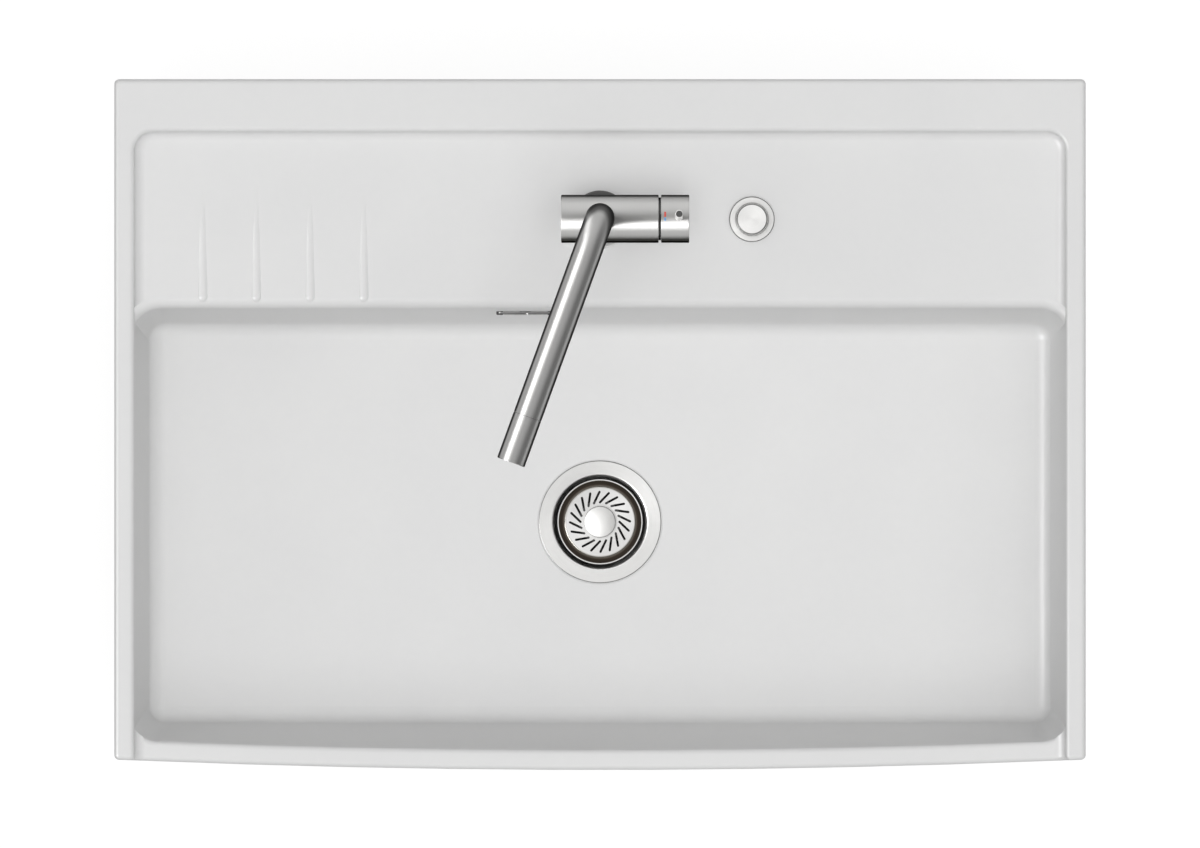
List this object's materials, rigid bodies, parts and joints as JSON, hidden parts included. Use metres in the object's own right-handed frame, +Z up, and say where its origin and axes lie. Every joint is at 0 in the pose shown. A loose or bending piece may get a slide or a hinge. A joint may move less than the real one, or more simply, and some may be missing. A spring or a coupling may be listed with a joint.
{
  "type": "kitchen sink with drainboard",
  "caption": "Ceramic kitchen sink with one bowl and a ribbed drainer ledge, side-lever tap with swivelling pull-out spout, and a basket waste lifted by a turn control.",
  "frame": {"origin": "in the underside plane that rests on the cabinet, under the middle of the sink's outline", "axes": "+X to the right along the sink's width, +Y to the rear, +Z up"},
  "size_m": [0.895, 0.6366, 0.6083],
  "materials": {
    "glazed_ceramic": "satin grey-white glaze",
    "brushed_steel": "fine brushed",
    "plain_steel": "plain",
    "brass": "machined",
    "black_rubber": "matt",
    "white_plastic": "moulded",
    "grey_plastic": "moulded",
    "red_mark": "inlay",
    "blue_mark": "inlay"
  },
  "bodies": {
    "base": {"sink_basin": "glazed_ceramic", "overflow_seal": "black_rubber", "overflow_cover": "brushed_steel", "overflow_left_cap": "black_rubber", "overflow_right_cap": "black_rubber", "overflow_elbow": "white_plastic", "overflow_screw": "brushed_steel", "waste_flange": "brushed_steel", "waste_flange_seal": "black_rubber", "waste_lower_seal": "black_rubber", "waste_clamp_washer": "plain_steel", "waste_clamp_nut": "white_plastic", "waste_body": "white_plastic", "stem_guide": "white_plastic", "shaft_gland": "white_plastic", "cable_bracket": "plain_steel", "control_seal": "black_rubber", "control_escutcheon": "brushed_steel", "control_housing": "white_plastic", "control_washer": "plain_steel", "control_nut": "brass", "control_cable_gland": "white_plastic", "tap_base_seal": "black_rubber", "tap_base_flange": "brushed_steel", "tap_body": "brushed_steel", "tap_shank": "brass", "hot_tail": "brass", "cold_tail": "brass", "tap_rubber_washer": "black_rubber", "tap_clamp_washer": "plain_steel", "tap_nut": "brass", "mixing_cartridge": "white_plastic", "cartridge_nut": "brushed_steel", "swivel_washer": "white_plastic"},
    "spout": {"spout_tube": "brushed_steel", "spout_bush": "white_plastic", "spout_o_rings": "black_rubber", "spout_dock": "white_plastic"},
    "spray": {"spray_head": "brushed_steel", "spray_spigot": "white_plastic", "spray_joint_ring": "black_rubber", "spray_aerator": "grey_plastic"},
    "mixer_turntable": {"cartridge_turntable": "brass", "lever_cross_pin": "plain_steel"},
    "mixer_lever": {"cartridge_lever": "plain_steel", "mixer_knob": "brushed_steel", "pin_lever": "brushed_steel", "lever_grub_screw": "plain_steel", "hot_mark": "red_mark", "cold_mark": "blue_mark"},
    "control": {"control_knob": "brushed_steel", "control_spindle": "plain_steel", "control_drum": "white_plastic"},
    "basket": {"strainer_basket": "brushed_steel", "basket_cap": "brushed_steel", "basket_stem": "plain_steel", "basket_seal": "black_rubber"},
    "rocker": {"lift_rocker": "plain_steel", "lift_shaft": "plain_steel", "lift_crank": "plain_steel"}
  },
  "joints": [
    {"name": "spout_swivel", "type": "hinge", "parent": "base", "child": "spout", "pos_m": [0, 0.1893, 0.3], "axis": [0, 0, 1], "range_deg": [-55, 95]},
    {"name": "spray_pull", "type": "slide", "parent": "spout", "child": "spray", "axis": [-0.342, -0.9397, 0], "range_m": [0, 0.028]},
    {"name": "mixer_turn", "type": "hinge", "parent": "base", "child": "mixer_turntable", "pos_m": [0, 0.1893, 0.267], "axis": [1, 0, 0], "range_deg": [-45, 45]},
    {"name": "mixer_tilt", "type": "hinge", "parent": "mixer_turntable", "child": "mixer_lever", "pos_m": [0.049, 0.1893, 0.267], "axis": [0, 0.9981, -0.061], "range_deg": [0, 20]},
    {"name": "control_turn", "type": "hinge", "parent": "base", "child": "control", "pos_m": [0.14, 0.1893, 0.215], "axis": [0, 0, 1], "range_deg": [0, 90]},
    {"name": "basket_lift", "type": "slide", "parent": "base", "child": "basket", "axis": [0, 0, 1], "range_m": [0, 0.01]},
    {"name": "rocker_swing", "type": "hinge", "parent": "base", "child": "rocker", "pos_m": [0, -0.1078, -0.0364], "axis": [1, 0, 0], "range_deg": [0, 32.2]}
  ],
  "couplings": [
    {"joint": "basket_lift", "follows": "control_turn", "m_per_rad": 0.006366},
    {"joint": "rocker_swing", "follows": "control_turn", "ratio": 0.3577}
  ]
}
